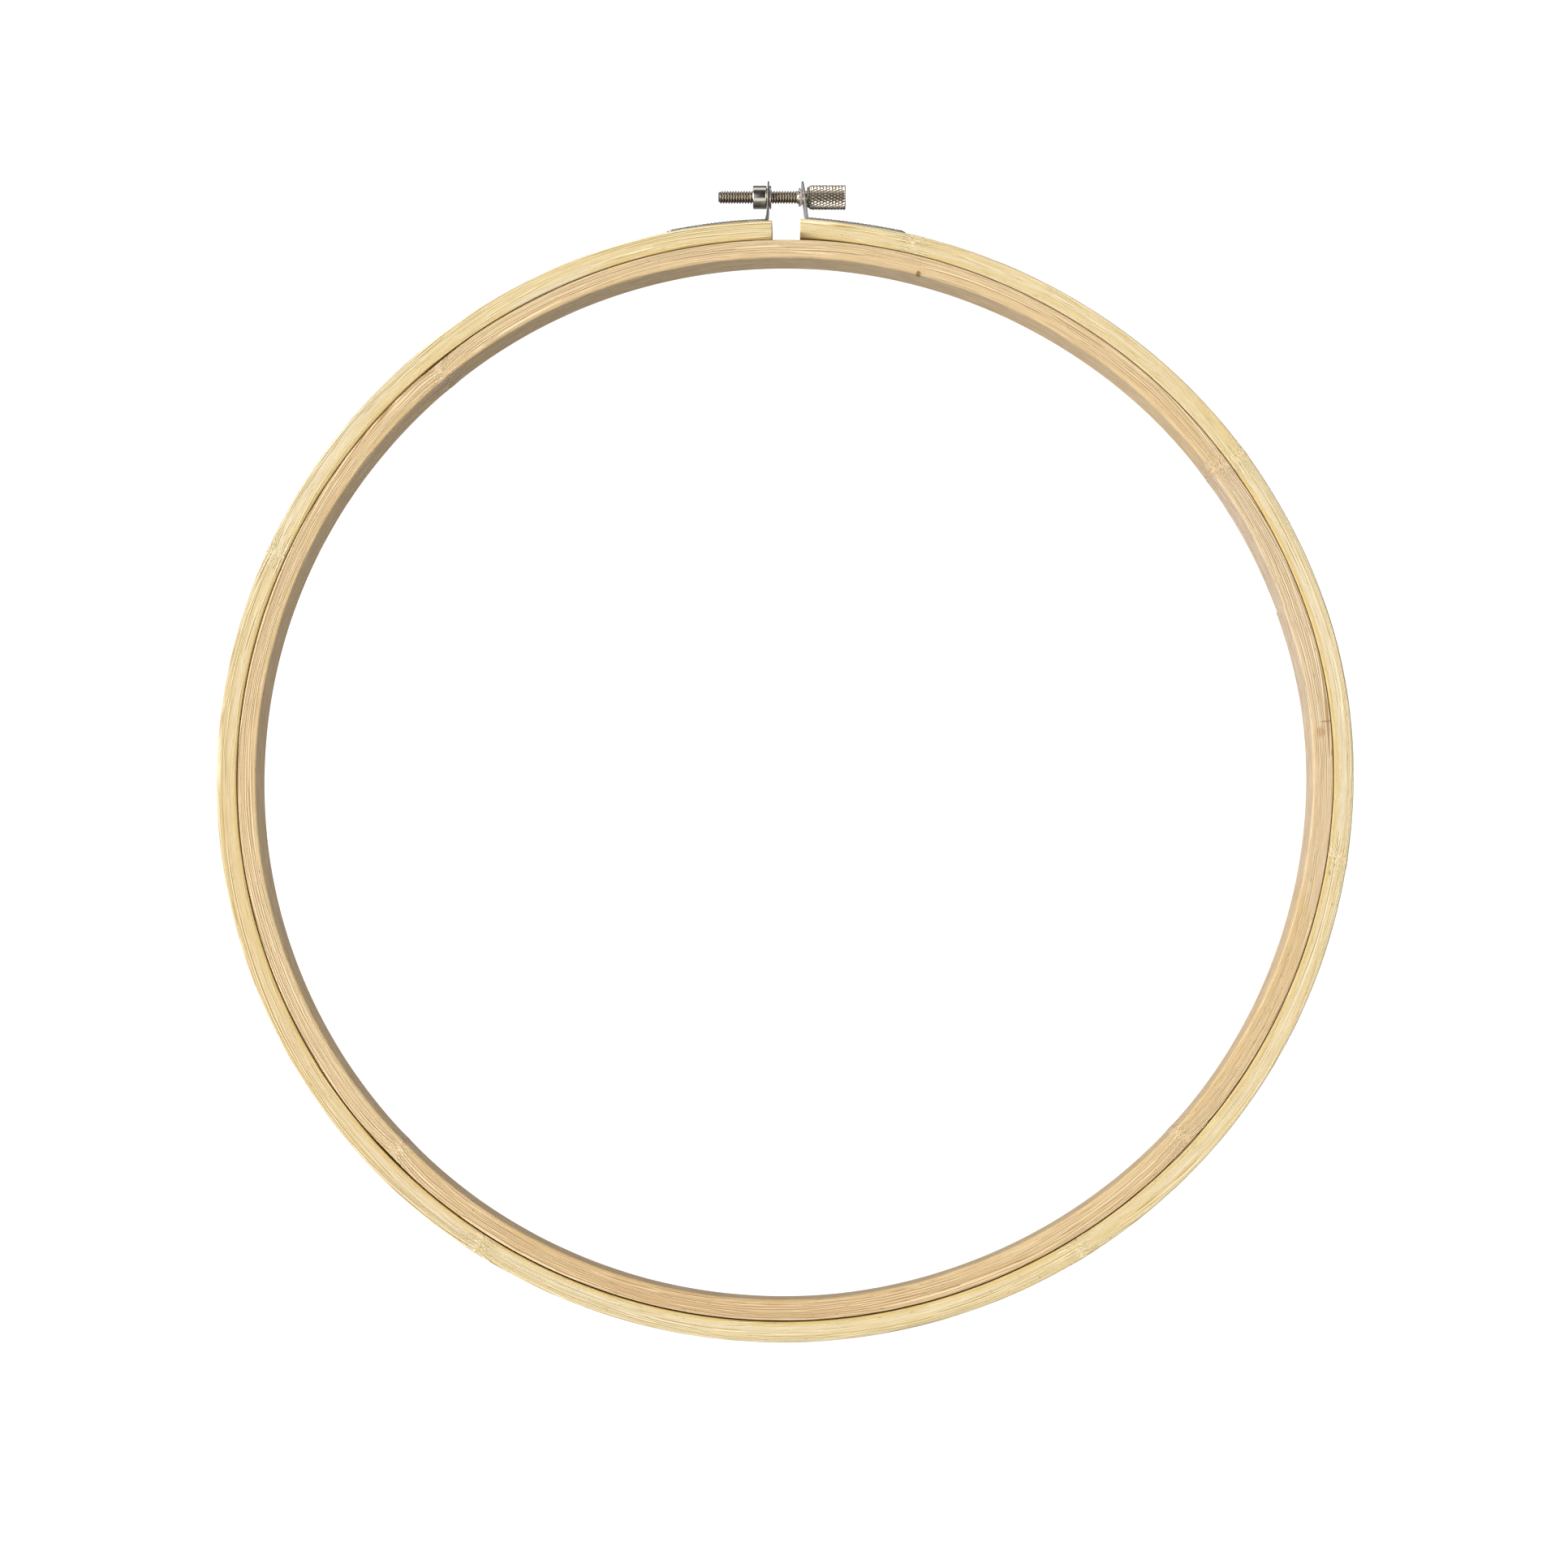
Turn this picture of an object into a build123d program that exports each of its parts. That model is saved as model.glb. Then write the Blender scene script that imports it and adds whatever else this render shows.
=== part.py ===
from build123d import *

import math
import os

# Two bamboo rings that nest, a split in the outer one, and a metal clamp across the split.
# Millimetres. The origin is the hoop's centre at mid-height, +Z is the front, and the clamp is at +Y.

# Rings
HOOP_DIAMETER = 304.8  # outside of the inner ring
STRIP_THICKNESS = 5.5
RING_HEIGHT = 10.0
EDGE_RADIUS = 0.8
RING_SLACK = 0.3  # between the rings when they only touch lightly
END_GAP = 8.0  # between the outer ring's two square ends
FLEX_JOINT_GAP = 0.05  # where the two halves of the outer strip meet

# Clamp
SCREW_HEIGHT = 7.9  # screw axis above the outer ring
EAR_SPACING = 10.5  # between the two ears, at the screw axis
NUT_EAR_LEAN = 2.0
SCREW_EAR_LEAN = 6.5
EAR_THICKNESS = 0.45
STRAP_THICKNESS = 0.45
STRAP_WIDTH = 9.0
STRAP_REACH = 34.5  # how far along X the strap's end is from the middle
STRAP_END_RADIUS = 2.0
BEND_RADIUS = 0.45
LENGTH_TOLERANCE = 0.001

# Screw, 0.138 inch by 32 threads per inch
THREAD_PITCH = 0.79375
THREAD_RADIUS = 1.7525
THREAD_ROOT_RADIUS = 1.27
SCREW_TIP = -19.7
THREAD_END = 3.4
SHANK_CLEARANCE = 0.25
HEAD_START = 5.95
HEAD_SHOULDER_RADIUS = 2.75
HEAD_CHAMFER = 1.1
HEAD_RADIUS = 3.5
HEAD_END = 17.1
HEAD_BEVEL = 0.35

# Barrel nut, with a neck through its ear and a rim swaged over on the far side
NUT_START = -9.65
NUT_RADIUS = 3.3
NUT_BEVEL = 0.25
NUT_BORE_RADIUS = 2.02
NUT_NECK_RADIUS = 2.5
NUT_RIM_THICKNESS = 0.5

# Retaining collar on the plain part of the shank
COLLAR_START = 3.55
COLLAR_DISC_END = 4.0
COLLAR_END = 4.6
COLLAR_RADIUS = 2.6
COLLAR_SMALL_RADIUS = 2.05

# Tacks through the straps
TACK_ANGLES = (5.2, 10.4)  # degrees away from the middle of the clamp
TACK_SHANK_RADIUS = 0.65
TACK_DEPTH = 4.2
TACK_HEAD_RADIUS = 1.7
TACK_HEAD_HEIGHT = 0.8

inner_ring_outside = HOOP_DIAMETER / 2
outer_ring_inside = inner_ring_outside + RING_SLACK
outer_ring_outside = outer_ring_inside + STRIP_THICKNESS
screw_y = outer_ring_outside + SCREW_HEIGHT
ear_x = EAR_SPACING / 2
ear_end_radius = STRAP_WIDTH / 2
nut_lean_offset = NUT_RADIUS * math.tan(math.radians(NUT_EAR_LEAN))
nut_neck_start = -ear_x - EAR_THICKNESS / 2 - nut_lean_offset
nut_neck_end = -ear_x + EAR_THICKNESS / 2 + nut_lean_offset
nut_end = nut_neck_end + NUT_RIM_THICKNESS
nut_middle = (NUT_START + nut_end) / 2
# The outer strip flexes about a line opposite the nut, so that the screw stays in line with the nut.
flex_angle = 270 + math.degrees(math.asin(nut_middle / outer_ring_outside))


def strip_section(outside):
    """The strip's rounded section, on the XZ plane."""
    middle = outside - STRIP_THICKNESS / 2
    return Plane.XZ * Pos(middle, 0) * RectangleRounded(STRIP_THICKNESS, RING_HEIGHT, EDGE_RADIUS)


def inner_ring():
    return revolve(strip_section(inner_ring_outside), Axis.Z)


def outer_half(side):
    """Half of the outer strip: side -1 carries the nut and 1 the screw."""
    half_gap = math.degrees(FLEX_JOINT_GAP / 2 / outer_ring_outside)
    if side < 0:
        start, sweep = 90, flex_angle - half_gap - 90
    else:
        start, sweep = flex_angle - 360 + half_gap, 90 + 360 - flex_angle - half_gap
    half = revolve(Rot(0, 0, start) * strip_section(outer_ring_outside), Axis.Z, sweep)
    end_cut = Pos(0, outer_ring_outside, 0) * Box(END_GAP, 4 * STRIP_THICKNESS, 2 * RING_HEIGHT)
    half -= end_cut
    for angle in TACK_ANGLES:
        half -= tack_place(side, angle) * tack_shank()
    return half


def along_screw(x):
    """A place on the screw's axis, with local Z along +X."""
    return Location(Plane(origin=(x, screw_y, 0), x_dir=(0, 1, 0), z_dir=(1, 0, 0)))


def rod(start, end, radius):
    """A cylinder along the screw's axis."""
    return along_screw((start + end) / 2) * Cylinder(radius, end - start)


def turned(points):
    """A solid turned about the screw's axis from (x, radius) points."""
    outline = [(x, screw_y + radius) for x, radius in points]
    return revolve(make_face(Polyline(*outline, close=True)), Axis((0, screw_y, 0), (1, 0, 0)))


def bracket(side, lean, hole_radius):
    """A strap that follows the outer ring, with rounded corners at its end, bent up into a round-ended ear."""
    outside = outer_ring_outside + STRAP_THICKNESS
    ear_base_x = ear_x + SCREW_HEIGHT * math.tan(math.radians(lean))
    near = angle_at(side * ear_base_x)
    far = angle_at(side * STRAP_REACH)
    strap = ring_sector(outer_ring_outside, outside, near, far)
    tip = 2 * ear_end_radius
    ear = Pos(0, (tip - SCREW_HEIGHT) / 2) * Rectangle(EAR_THICKNESS, tip + SCREW_HEIGHT)
    ear = Pos(side * ear_x, screw_y) * Rot(0, 0, side * lean) * ear
    profile = strap + ear - Circle(outer_ring_outside)
    inner_corner = (side * (ear_base_x + EAR_THICKNESS / 2), outside)
    profile = fillet(profile.vertices().sort_by_distance(inner_corner)[0], BEND_RADIUS)
    plate = extrude(profile, STRAP_WIDTH / 2, both=True)
    end_edges = plate.edges().filter_by(lambda edge: abs(edge.length - STRAP_THICKNESS) < LENGTH_TOLERANCE)
    plate = fillet(end_edges, STRAP_END_RADIUS)
    ear_round = rod(-2 * ear_x, 2 * ear_x, ear_end_radius)
    strap_side = Pos(0, screw_y / 2, 0) * Box(4 * STRAP_REACH, screw_y, 2 * STRAP_WIDTH)
    plate = plate & (ear_round + strap_side)
    return plate - rod(*sorted((side * ear_x / 2, side * 1.5 * ear_x)), hole_radius)


def barrel_nut():
    return turned(
        [
            (NUT_START, NUT_BORE_RADIUS),
            (NUT_START, NUT_RADIUS - NUT_BEVEL),
            (NUT_START + NUT_BEVEL, NUT_RADIUS),
            (nut_neck_start, NUT_RADIUS),
            (nut_neck_start, NUT_NECK_RADIUS),
            (nut_neck_end, NUT_NECK_RADIUS),
            (nut_neck_end, NUT_RADIUS),
            (nut_end, NUT_RADIUS),
            (nut_end, NUT_BORE_RADIUS),
        ]
    )


def thread_outline():
    """Ridges at the thread's pitch, from the screw's tip to the plain part of its shank."""
    points = [(SCREW_TIP, 0), (SCREW_TIP, THREAD_ROOT_RADIUS)]
    ridges = int((THREAD_END - SCREW_TIP) / THREAD_PITCH)
    first = THREAD_END - ridges * THREAD_PITCH
    for ridge in range(ridges):
        root = first + ridge * THREAD_PITCH
        points.append((root, THREAD_ROOT_RADIUS))
        points.append((root + THREAD_PITCH / 2, THREAD_RADIUS))
    return points + [(THREAD_END, THREAD_ROOT_RADIUS), (THREAD_END, THREAD_RADIUS)]


def clamp_screw():
    """Threaded shank and head, turned from one bar."""
    head = [
        (HEAD_START, THREAD_RADIUS),
        (HEAD_START, HEAD_SHOULDER_RADIUS),
        (HEAD_START + HEAD_CHAMFER, HEAD_RADIUS),
        (HEAD_END - HEAD_BEVEL, HEAD_RADIUS),
        (HEAD_END, HEAD_RADIUS - HEAD_BEVEL),
        (HEAD_END, 0),
    ]
    return turned(thread_outline() + head)


def retaining_collar():
    return turned(
        [
            (COLLAR_START, THREAD_RADIUS),
            (COLLAR_START, COLLAR_RADIUS),
            (COLLAR_DISC_END, COLLAR_RADIUS),
            (COLLAR_END, COLLAR_SMALL_RADIUS),
            (COLLAR_END, THREAD_RADIUS),
        ]
    )


def tack_place(side, angle):
    """The place of a tack, with local Z pointing out of the ring and its zero on the ring's face."""
    return Rot(0, 0, 90 - side * angle) * Pos(outer_ring_outside, 0, 0) * Rot(0, 90, 0)


def tack_shank():
    """A tack's shank from its point to the top of the strap."""
    top = STRAP_THICKNESS
    length = TACK_DEPTH + top
    return Pos(0, 0, top - length / 2) * Cylinder(TACK_SHANK_RADIUS, length)


def tack():
    """A tack with a low domed head that sits on the strap."""
    height, half_width = TACK_HEAD_HEIGHT, TACK_HEAD_RADIUS
    dome_radius = (half_width**2 + height**2) / (2 * height)
    dome = Pos(0, 0, STRAP_THICKNESS + height - dome_radius) * Sphere(dome_radius)
    above_strap = Pos(0, 0, STRAP_THICKNESS + height) * Box(3 * half_width, 3 * half_width, 2 * height)
    return tack_shank() + (dome & above_strap)


def ring_sector(inside, outside, near, far):
    """A flat ring sector between two angles."""
    low, high = sorted((near, far))
    return make_face(
        [
            CenterArc((0, 0), inside, low, high - low),
            CenterArc((0, 0), outside, low, high - low),
            Line(polar(inside, low), polar(outside, low)),
            Line(polar(inside, high), polar(outside, high)),
        ]
    )


def angle_at(x):
    """The angle, in degrees from +X, of the point on the outer ring's face at this x near the clamp."""
    return 90 - math.degrees(math.asin(x / outer_ring_outside))


def polar(radius, degrees):
    return radius * math.cos(math.radians(degrees)), radius * math.sin(math.radians(degrees))


def with_tack_holes(strap, side):
    for angle in TACK_ANGLES:
        strap -= tack_place(side, angle) * tack_shank()
    return strap


def build():
    parts = {
        "inner_ring": inner_ring(),
        "outer_ring_nut_half": outer_half(-1),
        "outer_ring_screw_half": outer_half(1),
        "nut_bracket": with_tack_holes(bracket(-1, NUT_EAR_LEAN, NUT_NECK_RADIUS), -1),
        "screw_bracket": with_tack_holes(bracket(1, SCREW_EAR_LEAN, THREAD_RADIUS + SHANK_CLEARANCE), 1),
        "barrel_nut": barrel_nut(),
        "clamp_screw": clamp_screw(),
        "retaining_collar": retaining_collar(),
    }
    for side, bracket_name in ((-1, "nut"), (1, "screw")):
        for place, angle in zip(("near", "far"), TACK_ANGLES):
            parts[f"{bracket_name}_bracket_{place}_tack"] = tack_place(side, angle) * tack()
    return parts


os.makedirs("parts", exist_ok=True)
for name, shape in build().items():
    export_step(shape, f"parts/{name}.step")
lever = screw_y - outer_ring_outside * math.sin(math.radians(flex_angle))
print("flex line", [round(v, 4) for v in polar(outer_ring_outside, flex_angle)], "screw axis y", round(screw_y, 4))
print("ring radians per screw radian", THREAD_PITCH / (2 * math.pi * lever))
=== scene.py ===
import math

import bpy
import numpy as np
from mathutils import Matrix, Vector


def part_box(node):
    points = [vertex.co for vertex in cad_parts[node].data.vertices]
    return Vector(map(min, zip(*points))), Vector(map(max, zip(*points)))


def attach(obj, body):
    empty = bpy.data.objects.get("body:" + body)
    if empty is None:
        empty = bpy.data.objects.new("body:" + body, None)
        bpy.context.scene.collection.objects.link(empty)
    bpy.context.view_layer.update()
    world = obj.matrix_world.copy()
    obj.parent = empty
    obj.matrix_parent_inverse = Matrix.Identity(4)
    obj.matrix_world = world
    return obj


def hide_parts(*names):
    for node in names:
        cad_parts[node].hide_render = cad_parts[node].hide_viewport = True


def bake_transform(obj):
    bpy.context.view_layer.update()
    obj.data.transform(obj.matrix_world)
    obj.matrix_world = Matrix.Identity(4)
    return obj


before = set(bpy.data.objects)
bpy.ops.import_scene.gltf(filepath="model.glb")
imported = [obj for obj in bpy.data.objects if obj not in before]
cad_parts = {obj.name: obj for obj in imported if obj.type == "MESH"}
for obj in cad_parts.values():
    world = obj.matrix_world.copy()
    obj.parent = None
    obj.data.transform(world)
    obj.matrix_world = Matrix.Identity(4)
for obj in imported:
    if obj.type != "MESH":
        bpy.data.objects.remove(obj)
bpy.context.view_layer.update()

# Lengths are in millimetres here, and MM turns them into Blender's metres.
MM = 0.001

# Rings, from the frame
inner_low, inner_high = (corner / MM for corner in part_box("inner_ring"))
nut_half_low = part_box("outer_ring_nut_half")[0] / MM
RING_HEIGHT = inner_high.z - inner_low.z
INNER_RING_OUTSIDE = inner_high.x
OUTER_RING_OUTSIDE = -nut_half_low.x
END_GAP_HALF = 4.0
STRIP_THICKNESS = 5.5
OUTER_RING_INSIDE = OUTER_RING_OUTSIDE - STRIP_THICKNESS

# Screw line, from the frame
nut_low, nut_high = (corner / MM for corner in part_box("barrel_nut"))
screw_low, screw_high = (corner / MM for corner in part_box("clamp_screw"))
collar_low, collar_high = (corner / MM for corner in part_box("retaining_collar"))
SCREW_Y = (screw_low.y + screw_high.y) / 2


# ---------------------------------------------------------------- camera, light and floor


def aim(location, target, roll):
    """The matrix of something at location that looks at target, with +Y up in its picture."""
    backward = (Vector(location) - Vector(target)).normalized()
    up = Vector((-math.sin(roll), math.cos(roll), 0))
    right = up.cross(backward).normalized()
    turn = Matrix((right, backward.cross(right), backward)).transposed()
    return Matrix.Translation(Vector(location) * MM) @ turn.to_4x4()


# The camera, in millimetres and radians
CAMERA_PLACE = (10.5, -79.7, 626.0)
CAMERA_TARGET = (0.5, -5.6, 5.0)
CAMERA_ROLL = 0.0066
CAMERA_LENS = 51.59


def make_camera():
    data = bpy.data.cameras.new("camera")
    data.lens = CAMERA_LENS
    data.clip_start = 0.01
    camera = bpy.data.objects.new("camera", data)
    camera.matrix_world = aim(CAMERA_PLACE, CAMERA_TARGET, CAMERA_ROLL)
    bpy.context.scene.collection.objects.link(camera)
    bpy.context.scene.camera = camera


# The key light: a place that it comes from, its strength, and the angle that it fills, in degrees
KEY_FROM = (-783, -20, 940)
KEY_ENERGY = 4.1
KEY_SPREAD = 40

# The surround's bands, as (place, tone): 0 is level with the hoop, and 1 is along SURROUND_AXIS
SURROUND_AXIS = (0, 0.26, 0.966)
SURROUND_BANDS = (
    (0.0, 0.12),
    (0.2, 0.2),
    (0.32, 0.9),
    (0.5, 1.3),
    (0.68, 1.1),
    (0.76, 0.14),
    (0.9, 0.04),
)
# Brighter than white, so that it stays pure white in the picture
CAMERA_WHITE = (1.1, 1.1, 1.1)


def make_light():
    """A broad key light from the left and above."""
    data = bpy.data.lights.new("key", "SUN")
    data.energy = KEY_ENERGY
    data.angle = math.radians(KEY_SPREAD)
    data.color = (1.0, 0.99, 0.975)
    light = bpy.data.objects.new("key", data)
    light.matrix_world = aim(KEY_FROM, (0, 0, 0), 0)
    bpy.context.scene.collection.objects.link(light)


def surround_bands(tree):
    """The bands' colour, from the direction that a ray takes."""
    place = tree.nodes.new("ShaderNodeTexCoord")
    height = tree.nodes.new("ShaderNodeVectorMath")
    height.operation = "DOT_PRODUCT"
    height.inputs[1].default_value = SURROUND_AXIS
    ramp = tree.nodes.new("ShaderNodeValToRGB")
    tree.links.new(place.outputs["Generated"], height.inputs[0])
    tree.links.new(height.outputs["Value"], ramp.inputs["Fac"])
    while len(ramp.color_ramp.elements) < len(SURROUND_BANDS):
        ramp.color_ramp.elements.new(0.5)
    for element, (position, tone) in zip(ramp.color_ramp.elements, SURROUND_BANDS):
        element.position = position
        element.color = (tone * 0.97, tone * 0.985, tone, 1)
    return ramp.outputs["Color"]


def make_surround():
    """Grey bands that light the hoop evenly and show in its metal, and plain white behind the hoop."""
    world = bpy.data.worlds.new("studio")
    world.use_nodes = True
    tree = world.node_tree
    backdrop = tree.nodes.new("ShaderNodeMix")
    backdrop.data_type = "RGBA"
    path = tree.nodes.new("ShaderNodeLightPath")
    tree.links.new(path.outputs["Is Camera Ray"], backdrop.inputs[0])
    tree.links.new(surround_bands(tree), backdrop.inputs[6])
    backdrop.inputs[7].default_value = (*CAMERA_WHITE, 1)
    tree.links.new(backdrop.outputs[2], tree.nodes["Background"].inputs["Color"])
    tree.nodes["Background"].inputs["Strength"].default_value = 1.0
    bpy.context.scene.world = world
    bpy.context.scene.view_settings.view_transform = "Standard"


# What the floor gives to matt surfaces and to metal
FLOOR_GLOW = (0.64, 0.62, 0.60)
FLOOR_IN_METAL = (0.1, 0.1, 0.11)


def make_floor():
    """A sheet that looks pure white and shows no shadow. It lights the hoop from below no more than grey
    card does, and polished metal reflects it dark, which gives the metal its dark outlines."""
    half = 4.0
    corners = [(-half, -half), (half, -half), (half, half), (-half, half)]
    level = -RING_HEIGHT / 2 * MM
    mesh = bpy.data.meshes.new("floor")
    mesh.from_pydata([(x, y, level) for x, y in corners], [], [(0, 1, 2, 3)])
    floor = bpy.data.objects.new("floor", mesh)
    bpy.context.scene.collection.objects.link(floor)
    shader = Shader("floor_paper")
    path = shader.node("ShaderNodeLightPath").outputs
    glow = shader.mix(path["Is Glossy Ray"], FLOOR_GLOW, FLOOR_IN_METAL)
    glow = shader.mix(path["Is Camera Ray"], glow, CAMERA_WHITE)
    shader.feed(shader.principled.inputs["Emission Color"], glow)
    shader.surface(base=(0.04, 0.04, 0.04), roughness=0.9, emission_strength=1.0)
    mesh.materials.append(shader.material)


# ---------------------------------------------------------------- materials


class Shader:
    """A procedural material, built node by node. Values are sockets or plain numbers."""

    def __init__(self, name):
        self.material = bpy.data.materials.new(name)
        self.material.use_nodes = True
        self.tree = self.material.node_tree
        self.principled = self.tree.nodes["Principled BSDF"]

    def node(self, kind, inputs=(), **settings):
        node = self.tree.nodes.new(kind)
        for key, value in settings.items():
            setattr(node, key, value)
        for key, value in dict(inputs).items():
            self.feed(node.inputs[key], value)
        return node

    def feed(self, socket, value):
        if isinstance(value, bpy.types.NodeSocket):
            self.tree.links.new(value, socket)
        elif isinstance(value, tuple) and len(value) == 3 and socket.type == "RGBA":
            socket.default_value = (*value, 1)
        else:
            socket.default_value = value

    def attribute(self, name, output="Vector"):
        return self.node("ShaderNodeAttribute", attribute_name=name).outputs[output]

    def math(self, operation, a, b=0.0, clamp=False):
        node = self.node("ShaderNodeMath", {0: a, 1: b}, operation=operation, use_clamp=clamp)
        return node.outputs[0]

    def stretch(self, vector, scale, shift=(0, 0, 0)):
        node = self.node("ShaderNodeVectorMath", {0: vector, 1: scale, 2: shift}, operation="MULTIPLY_ADD")
        return node.outputs[0]

    def noise(self, vector, scale, detail=2.0, roughness=0.5, distortion=0.0, shift=(0, 0, 0)):
        """Noise whose features are about 1 / scale millimetres, axis by axis."""
        inputs = {
            "Vector": self.stretch(vector, scale, shift),
            "Scale": 1.0,
            "Detail": detail,
            "Roughness": roughness,
            "Distortion": distortion,
        }
        return self.node("ShaderNodeTexNoise", inputs).outputs["Fac"]

    def span(self, value, low, high, to_low=0.0, to_high=1.0):
        """value mapped smoothly from low..high to to_low..to_high."""
        inputs = {0: value, 1: low, 2: high, 3: to_low, 4: to_high}
        node = self.node("ShaderNodeMapRange", inputs, interpolation_type="SMOOTHSTEP")
        return node.outputs[0]

    def ridge(self, value, level, width):
        """1 where value crosses level, falling to 0 within width: thin lines from a noise."""
        away = self.math("ABSOLUTE", self.math("SUBTRACT", value, level))
        return self.span(away, 0.0, width, 1.0, 0.0)

    def times(self, *values):
        product = values[0]
        for value in values[1:]:
            product = self.math("MULTIPLY", product, value)
        return product

    def mix(self, factor, a, b, blend_type="MIX"):
        inputs = {0: factor, 6: a, 7: b}
        node = self.node("ShaderNodeMix", inputs, data_type="RGBA", blend_type=blend_type)
        return node.outputs[2]

    def separate(self, vector):
        return self.node("ShaderNodeSeparateXYZ", {0: vector}).outputs

    def bump(self, height, distance, strength=1.0):
        inputs = {"Height": height, "Distance": distance * MM, "Strength": strength}
        return self.node("ShaderNodeBump", inputs).outputs["Normal"]

    def surface(self, base, roughness, metallic=0.0, normal=None, **more):
        self.feed(self.principled.inputs["Base Color"], base)
        self.feed(self.principled.inputs["Roughness"], roughness)
        self.feed(self.principled.inputs["Metallic"], metallic)
        if normal is not None:
            self.feed(self.principled.inputs["Normal"], normal)
        for key, value in more.items():
            self.principled.inputs[key.replace("_", " ").title()].default_value = value
        return self.material


# Families of fibre lines, as (spacing, usual length, shift of the noise, strength)
LINE_FAMILIES = ((0.64, 26, 0.3, 1.0), (0.43, 13, 8.1, 0.7))
# How far apart in the noise two neighbouring lines lie, so that they come and go on their own
LANE_STEP = 5.37


class Bamboo(Shader):
    """Bent bamboo. The strip attribute is (along, across, up) in millimetres and follows the fibres;
    place is the same without the swirls at the nodes. The fibres crowd towards the skin side."""

    def __init__(self, name, tones, skin_start):
        super().__init__(name)
        self.tones = tones
        self.strip = self.attribute("strip")
        self.along, self.fibre_across, self.fibre_up = self.separate(self.strip)[:3]
        self.across, self.up = self.separate(self.attribute("place"))[1:3]
        self.from_node = self.attribute("node", "Fac")
        self.lap = self.attribute("lap", "Fac")
        self.rich = self.attribute("rich", "Fac")
        self.mark = self.attribute("mark", "Fac")
        self.near_node = self.span(self.from_node, 2.0, 9.0, 1.0, 0.0)
        skin = self.span(self.across, skin_start, skin_start + 1.6, 0.15, 1.0)
        skin = self.math("MAXIMUM", skin, self.times(self.near_node, 0.7))
        self.skin = self.math("MAXIMUM", skin, self.times(self.lap, 0.9))
        self.patch = self.noise(self.strip, (0.02, 0.6, 0.5), detail=2, roughness=0.5, shift=(4, 8, 3))
        self.fibre = self.noise(self.strip, (0.12, 5.5, 5.5), detail=3, roughness=0.65, shift=(5, 3, 9))
        self.mottle = self.noise(self.strip, (0.1, 0.9, 0.9), detail=4, roughness=0.6, shift=(2, 7, 1))
        self.dash = self.noise(self.strip, (0.45, 4.2, 4.2), detail=2, roughness=0.5, shift=(8, 2, 4))
        self.grain = self.noise(self.strip, (1.6, 5.0, 5.0), detail=2, roughness=0.6, shift=(1, 6, 3))
        self.wander = self.noise(self.strip, (0.012, 0.35, 0.35), detail=2, roughness=0.5, shift=(7, 1, 5))

    def tint(self, factor, tone, blend_type="MIX"):
        self.colour = self.mix(factor, self.colour, self.tones[tone], blend_type)

    def plain_wood(self, edge_reach):
        """Slow bands along the strip, a richer inside edge, the planed lap, and the fine fibres, with painted
        highlight streaks among them.
        """
        band = self.noise(self.strip, (0.006, 0.6, 0.5), detail=3, roughness=0.55)
        self.colour = self.mix(self.span(band, 0.38, 0.62), self.tones["pale"], self.tones["straw"])
        self.tint(self.span(self.mottle, 0.45, 0.7, 0.0, 0.35), "straw")
        edge = self.span(self.across, 0.4, edge_reach, 0.85, 0.0)
        self.tint(self.times(edge, self.span(self.rich, 0.2, 0.7)), "edge")
        self.tint(self.times(self.lap, 0.8), "lap")
        self.tint(self.span(self.fibre, 0.5, 0.34, 0.0, 0.38), "line")
        # Painted highlight: light streaks along the fibres, standing in for glints.
        self.tint(self.span(self.fibre, 0.54, 0.68, 0.0, 0.5), "glow")
        self.tint(self.span(self.grain, 0.56, 0.72, 0.0, 0.3), "line")
        self.height = self.math("ADD", self.times(self.fibre, 0.35), self.times(self.grain, 0.25))

    def line_track(self, spacing, shift):
        """Counts up by one from each line of a family to the next, across the strip."""
        track = self.math("ADD", self.fibre_across, self.fibre_up)
        track = self.math("ADD", track, self.times(self.wander, 3.0))
        return self.math("ADD", self.times(track, 1 / spacing), shift)

    def line_clear(self, track, length, shift):
        """How clear the nearest line is: each comes and goes, and more of them show in rich wood."""
        lane = self.times(self.math("FLOOR", track), LANE_STEP)
        lane = self.node("ShaderNodeCombineXYZ", {0: self.times(self.along, 1 / length), 1: lane, 2: shift})
        clear = self.noise(lane.outputs[0], (1, 1, 1), detail=1, roughness=0.5)
        want = self.times(self.math("ADD", self.rich, self.times(self.near_node, 0.3)), self.skin)
        clear = self.math("ADD", clear, self.times(self.math("ADD", want, -0.5), 0.32))
        clear = self.math("ADD", clear, self.times(self.patch, 0.25))
        return self.span(clear, 0.6, 0.7)

    def fibre_lines(self):
        """Dark lines, each with a light one beside it, painted as the shaded and the lit side of a groove,
        and short dark dashes between them.
        """
        for spacing, length, shift, strength in LINE_FAMILIES:
            track = self.line_track(spacing, shift)
            clear = self.line_clear(track, length, shift)
            place = self.math("FRACT", track)
            # dark is the fibre's own colour and painted shade, and also cuts a real bump; light is a painted
            # highlight on the groove's lit side.
            dark = self.times(self.ridge(place, 0.36, 0.24), clear)
            light = self.times(self.ridge(place, 0.7, 0.24), clear)
            self.tint(self.times(dark, strength), "line")
            self.tint(self.times(light, strength), "glow")
            self.height = self.math("SUBTRACT", self.height, self.times(dark, 0.5 * strength))
        patches = self.span(self.patch, 0.42, 0.56, 0.2, 1.0)
        self.tint(self.times(self.span(self.dash, 0.66, 0.72), patches, 0.7), "fleck")

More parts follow.
